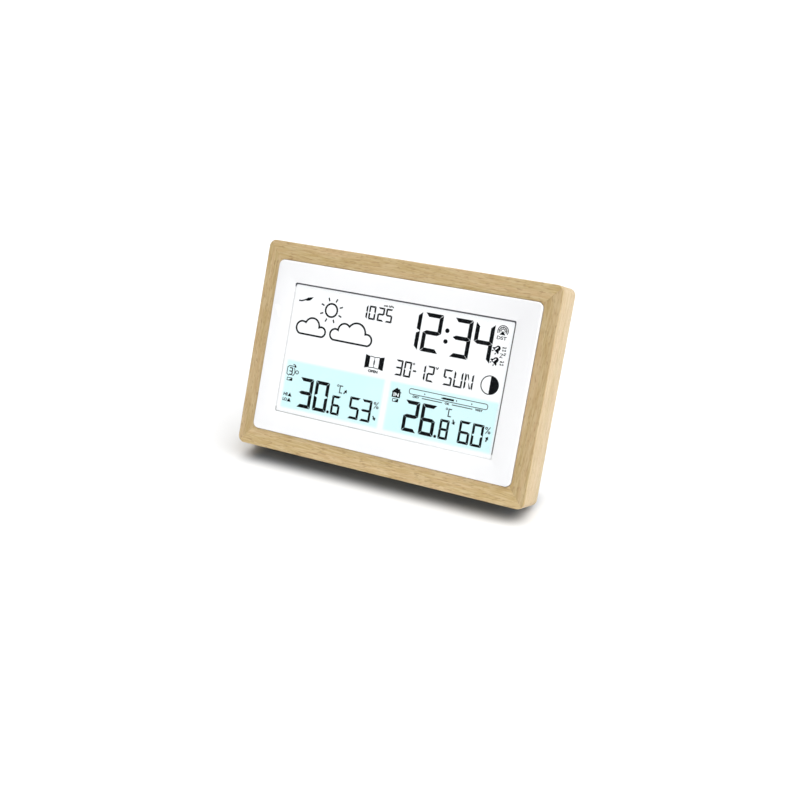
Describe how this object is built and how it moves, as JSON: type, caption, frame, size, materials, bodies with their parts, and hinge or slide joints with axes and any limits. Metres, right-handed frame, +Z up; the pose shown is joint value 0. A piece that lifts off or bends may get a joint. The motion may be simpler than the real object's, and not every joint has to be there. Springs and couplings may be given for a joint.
{
  "type": "home weather station",
  "caption": "Leaning tabletop weather station: mitred wooden frame, white front, backlit segment display, rear cover with keys and battery bay, fold-out stand.",
  "frame": {"origin": "on the table, under the middle of the whole station", "axes": "+X to the right of someone reading the display, +Y away from them, +Z up"},
  "size_m": [0.2, 0.0756, 0.1341],
  "materials": {
    "beech": "oiled, fine straight grain with short dark flecks",
    "white_gloss": "gloss",
    "clear_lens": "polished",
    "display": "backlit, with black segments",
    "grey_foam": "matt",
    "cover_white": "fine moulded texture",
    "key_grey": "satin",
    "inner_white": "matt",
    "board_green": "solder mask",
    "black_plastic": "satin",
    "steel": "nickel plated",
    "copper": "enamelled wire",
    "rubber": "matt",
    "cell_wrap": "glossy sleeve"
  },
  "bodies": {
    "housing": {"frame_top_bar": "beech", "frame_bottom_bar": "beech", "frame_left_bar": "beech", "frame_right_bar": "beech", "front_fascia": "white_gloss", "window_gasket": "grey_foam", "window_lens": "clear_lens", "lcd_front_glass": "display", "lcd_rear_glass": "display", "backlight_diffuser": "inner_white", "light_guide": "clear_lens", "backlight_reflector": "inner_white", "led_strip": "board_green", "lcd_carrier": "inner_white", "contact_strip": "rubber", "main_board": "board_green", "display_controller": "black_plastic", "clock_crystal": "steel", "pressure_sensor": "steel", "radio_receiver": "board_green", "receiver_aerial": "copper", "time_aerial_rod": "black_plastic", "time_aerial_coil": "copper", "key_board": "board_green", "board_screw_1": "steel", "board_screw_2": "steel", "ribbon_cable": "inner_white", "key_switch_1": "black_plastic", "key_switch_2": "black_plastic", "key_switch_3": "black_plastic", "key_switch_4": "black_plastic", "key_switch_5": "black_plastic", "light_switch": "black_plastic", "humidity_sensor": "board_green", "buzzer": "black_plastic", "power_inlet": "black_plastic", "rear_cover": "cover_white", "battery_upper": "cell_wrap", "battery_middle": "cell_wrap", "battery_lower": "cell_wrap", "contact_negative": "steel", "contact_positive": "steel", "contact_link_left": "steel", "contact_link_right": "steel", "stand_hinge_pin": "steel", "foot_left": "rubber", "foot_right": "rubber", "cover_screw_1": "steel", "cover_screw_2": "steel", "cover_screw_3": "steel", "cover_screw_4": "steel"},
    "stand": {"stand": "cover_white", "stand_foot_pad": "rubber"},
    "battery_door": {"battery_door": "cover_white"},
    "set_button": {"set_button": "key_grey"},
    "alarm_button": {"alarm_button": "key_grey"},
    "memory_button": {"memory_button": "key_grey"},
    "plus_button": {"plus_button": "key_grey"},
    "minus_button": {"minus_button": "key_grey"},
    "light_button": {"light_button": "key_grey"}
  },
  "joints": [
    {"name": "stand_hinge", "type": "hinge", "parent": "housing", "child": "stand", "pos_m": [0, 0.01617, 0.06849], "axis": [1, 0, 0], "range_deg": [-37, 0]},
    {"name": "battery_door_hinge", "type": "hinge", "parent": "housing", "child": "battery_door", "pos_m": [0.056, 0.00092, 0.02641], "axis": [-1, 0, 0], "range_deg": [0, 70]},
    {"name": "set_button_press", "type": "slide", "parent": "housing", "child": "set_button", "axis": [0, -0.9205, 0.3907], "range_m": [0, 0.0005], "stiffness_N_per_m": 400},
    {"name": "alarm_button_press", "type": "slide", "parent": "housing", "child": "alarm_button", "axis": [0, -0.9205, 0.3907], "range_m": [0, 0.0005], "stiffness_N_per_m": 400},
    {"name": "memory_button_press", "type": "slide", "parent": "housing", "child": "memory_button", "axis": [0, -0.9205, 0.3907], "range_m": [0, 0.0005], "stiffness_N_per_m": 400},
    {"name": "plus_button_press", "type": "slide", "parent": "housing", "child": "plus_button", "axis": [0, -0.9205, 0.3907], "range_m": [0, 0.0005], "stiffness_N_per_m": 400},
    {"name": "minus_button_press", "type": "slide", "parent": "housing", "child": "minus_button", "axis": [0, -0.9205, 0.3907], "range_m": [0, 0.0005], "stiffness_N_per_m": 400},
    {"name": "light_button_press", "type": "slide", "parent": "housing", "child": "light_button", "axis": [0, -0.9205, 0.3907], "range_m": [0, 0.0005], "stiffness_N_per_m": 400}
  ]
}
